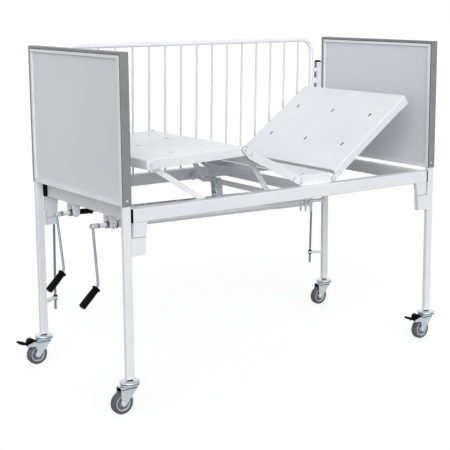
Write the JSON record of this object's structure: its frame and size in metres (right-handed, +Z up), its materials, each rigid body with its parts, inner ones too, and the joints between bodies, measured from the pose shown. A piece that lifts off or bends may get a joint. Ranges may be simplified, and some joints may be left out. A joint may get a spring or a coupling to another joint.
{
  "type": "pediatric hospital cot",
  "caption": "Steel hospital cot with crank-raised backrest and knee sections, grey end panels, a barred drop side and swivel casters.",
  "frame": {"origin": "on the floor under the middle of the whole cot", "axes": "+X along the cot from foot to head, +Y across it towards the drop side, +Z up"},
  "size_m": [1.6184, 0.7646, 1.268],
  "materials": {
    "white_paint": "satin white powder coat",
    "board": "light grey laminate over board",
    "trim": "grey extruded edge channel",
    "zinc": "zinc plated",
    "rod_steel": "drawn bar, plated",
    "tyre_rubber": "matte dark grey",
    "hub_plastic": "moulded",
    "black_plastic": "moulded, fine grain"
  },
  "bodies": {
    "frame": {"leg_foot_front": "white_paint", "leg_foot_rear": "white_paint", "leg_head_front": "white_paint", "leg_head_rear": "white_paint", "foot_top_tube": "white_paint", "foot_lower_rail": "white_paint", "foot_board": "board", "foot_trim": "trim", "end_rail_foot": "white_paint", "guide_rod_foot": "rod_steel", "guide_post_foot": "white_paint", "post_cap_foot": "black_plastic", "head_top_tube": "white_paint", "head_lower_rail": "white_paint", "head_board": "board", "head_trim": "trim", "end_rail_head": "white_paint", "guide_rod_head": "rod_steel", "guide_post_head": "white_paint", "post_cap_head": "black_plastic", "rail_front": "white_paint", "rail_rear": "white_paint", "cap_foot_front": "black_plastic", "cap_foot_rear": "black_plastic", "cap_head_front": "black_plastic", "cap_head_rear": "black_plastic", "seat_tray": "white_paint", "knee_bearing": "white_paint", "back_bearing": "white_paint"},
    "backrest": {"back_tray": "white_paint", "back_fork": "white_paint"},
    "thigh": {"thigh_tray": "white_paint"},
    "shin": {"leg_tray": "white_paint"},
    "strap_front": {"strap_bar_front": "white_paint"},
    "strap_rear": {"strap_bar_rear": "white_paint"},
    "rock": {"rock_shaft": "white_paint"},
    "knee_nut": {"knee_nut": "zinc"},
    "back_nut": {"back_nut": "zinc"},
    "knee_screw": {"knee_shaft": "white_paint", "knee_sleeve": "black_plastic"},
    "knee_arm": {"knee_crank": "zinc"},
    "knee_handle": {"knee_grip": "black_plastic"},
    "back_screw": {"back_shaft": "white_paint"},
    "back_arm": {"back_crank": "zinc"},
    "back_handle": {"back_grip": "black_plastic"},
    "drop_side": {"guard": "white_paint"},
    "pedal_foot_rear": {"pedal_foot_rear": "black_plastic"},
    "pedal_head_front": {"pedal_head_front": "black_plastic"},
    "caster_foot_front": {"fork_foot_front": "zinc"},
    "wheel_foot_front": {"hub_foot_front": "hub_plastic", "tyre_foot_front": "tyre_rubber"},
    "caster_foot_rear": {"fork_foot_rear": "zinc"},
    "wheel_foot_rear": {"hub_foot_rear": "hub_plastic", "tyre_foot_rear": "tyre_rubber"},
    "caster_head_front": {"fork_head_front": "zinc"},
    "wheel_head_front": {"hub_head_front": "hub_plastic", "tyre_head_front": "tyre_rubber"},
    "caster_head_rear": {"fork_head_rear": "zinc"},
    "wheel_head_rear": {"hub_head_rear": "hub_plastic", "tyre_head_rear": "tyre_rubber"}
  },
  "joints": [
    {"name": "backrest_tilt", "type": "hinge", "parent": "frame", "child": "backrest", "pos_m": [0.25624, -0.00634, 0.744], "axis": [0, -1, 0], "range_deg": [-36, 36]},
    {"name": "thigh_tilt", "type": "hinge", "parent": "frame", "child": "thigh", "pos_m": [0.08524, -0.00634, 0.744], "axis": [0, 1, 0], "range_deg": [-27, 0]},
    {"name": "shin_tilt", "type": "hinge", "parent": "thigh", "child": "shin", "pos_m": [-0.17996, -0.00634, 0.8926], "axis": [0, 1, 0], "range_deg": [0, 29.01]},
    {"name": "strap_front_swing", "type": "hinge", "parent": "shin", "child": "strap_front", "pos_m": [-0.58451, -0.00634, 0.87247], "axis": [0, 1, 0], "range_deg": [-27.48, 0]},
    {"name": "strap_rear_swing", "type": "hinge", "parent": "shin", "child": "strap_rear", "pos_m": [-0.58451, -0.00634, 0.87247], "axis": [0, 1, 0], "range_deg": [-27.48, 0]},
    {"name": "rock_turn", "type": "hinge", "parent": "frame", "child": "rock", "pos_m": [0.00824, -0.00634, 0.697], "axis": [0, 1, 0], "range_deg": [-37.34, 0]},
    {"name": "knee_nut_travel", "type": "slide", "parent": "frame", "child": "knee_nut", "axis": [0.9998, 0, -0.0201], "range_m": [0, 0.0568]},
    {"name": "back_nut_travel", "type": "slide", "parent": "frame", "child": "back_nut", "axis": [0.9998, 0, -0.0201], "range_m": [-0.0851, 0.0851]},
    {"name": "knee_crank_turn", "type": "hinge", "parent": "frame", "child": "knee_screw", "pos_m": [-0.72476, 0.12766, 0.643], "axis": [0.9998, 0, -0.0201], "range_deg": [-721, 0]},
    {"name": "back_crank_turn", "type": "hinge", "parent": "frame", "child": "back_screw", "pos_m": [-0.72476, -0.15634, 0.643], "axis": [0.9998, 0, -0.0201], "range_deg": [-721, 721]},
    {"name": "knee_crank_fold", "type": "hinge", "parent": "knee_screw", "child": "knee_arm", "pos_m": [-0.72476, 0.12766, 0.643], "axis": [-0.0052, 0.9659, -0.2588], "range_deg": [0, 45]},
    {"name": "back_crank_fold", "type": "hinge", "parent": "back_screw", "child": "back_arm", "pos_m": [-0.72476, -0.15634, 0.643], "axis": [-0.0035, 0.9848, -0.1736], "range_deg": [0, 45]},
    {"name": "knee_grip_spin", "type": "hinge", "parent": "knee_arm", "child": "knee_handle", "pos_m": [-0.73648, 0.07028, 0.42906], "axis": [-0.756, -0.1732, -0.6313], "continuous": true},
    {"name": "back_grip_spin", "type": "hinge", "parent": "back_arm", "child": "back_handle", "pos_m": [-0.73657, -0.19484, 0.42487], "axis": [-0.7562, -0.1162, -0.6439], "continuous": true},
    {"name": "drop_side_slide", "type": "slide", "parent": "frame", "child": "drop_side", "axis": [0, -0.0349, 0.9994], "range_m": [-0.45, 0]},
    {"name": "caster_foot_front_swivel", "type": "hinge", "parent": "frame", "child": "caster_foot_front", "pos_m": [-0.69676, -0.34634, 0.06], "axis": [0, 0, 1], "continuous": true},
    {"name": "wheel_foot_front_spin", "type": "hinge", "parent": "caster_foot_front", "child": "wheel_foot_front", "pos_m": [-0.73076, -0.34634, 0.041], "axis": [0, 1, 0], "continuous": true},
    {"name": "caster_foot_rear_swivel", "type": "hinge", "parent": "frame", "child": "caster_foot_rear", "pos_m": [-0.69676, 0.33366, 0.06], "axis": [0, 0, 1], "continuous": true},
    {"name": "wheel_foot_rear_spin", "type": "hinge", "parent": "caster_foot_rear", "child": "wheel_foot_rear", "pos_m": [-0.73076, 0.33366, 0.041], "axis": [0, 1, 0], "continuous": true},
    {"name": "caster_head_front_swivel", "type": "hinge", "parent": "frame", "child": "caster_head_front", "pos_m": [0.77324, -0.34634, 0.06], "axis": [0, 0, 1], "continuous": true},
    {"name": "wheel_head_front_spin", "type": "hinge", "parent": "caster_head_front", "child": "wheel_head_front", "pos_m": [0.73924, -0.34634, 0.041], "axis": [0, 1, 0], "continuous": true},
    {"name": "caster_head_rear_swivel", "type": "hinge", "parent": "frame", "child": "caster_head_rear", "pos_m": [0.77324, 0.33366, 0.06], "axis": [0, 0, 1], "continuous": true},
    {"name": "wheel_head_rear_spin", "type": "hinge", "parent": "caster_head_rear", "child": "wheel_head_rear", "pos_m": [0.73924, 0.33366, 0.041], "axis": [0, 1, 0], "continuous": true},
    {"name": "pedal_foot_rear_press", "type": "hinge", "parent": "caster_foot_rear", "child": "pedal_foot_rear", "pos_m": [-0.74276, 0.33366, 0.093], "axis": [0, 1, 0], "range_deg": [-18, 0]},
    {"name": "pedal_head_front_press", "type": "hinge", "parent": "caster_head_front", "child": "pedal_head_front", "pos_m": [0.72724, -0.34634, 0.093], "axis": [0, 1, 0], "range_deg": [-18, 0]}
  ],
  "couplings": [
    {"joint": "shin_tilt", "follows": "thigh_tilt", "ratio": -1.0741},
    {"joint": "strap_front_swing", "follows": "thigh_tilt", "ratio": 1.0173},
    {"joint": "strap_rear_swing", "follows": "thigh_tilt", "ratio": 1.0173},
    {"joint": "rock_turn", "follows": "thigh_tilt", "ratio": 1.3822},
    {"joint": "knee_nut_travel", "follows": "thigh_tilt", "m_per_rad": -0.12},
    {"joint": "knee_crank_turn", "follows": "thigh_tilt", "ratio": 26.667},
    {"joint": "back_nut_travel", "follows": "backrest_tilt", "m_per_rad": 0.135},
    {"joint": "back_crank_turn", "follows": "backrest_tilt", "ratio": 20}
  ]
}
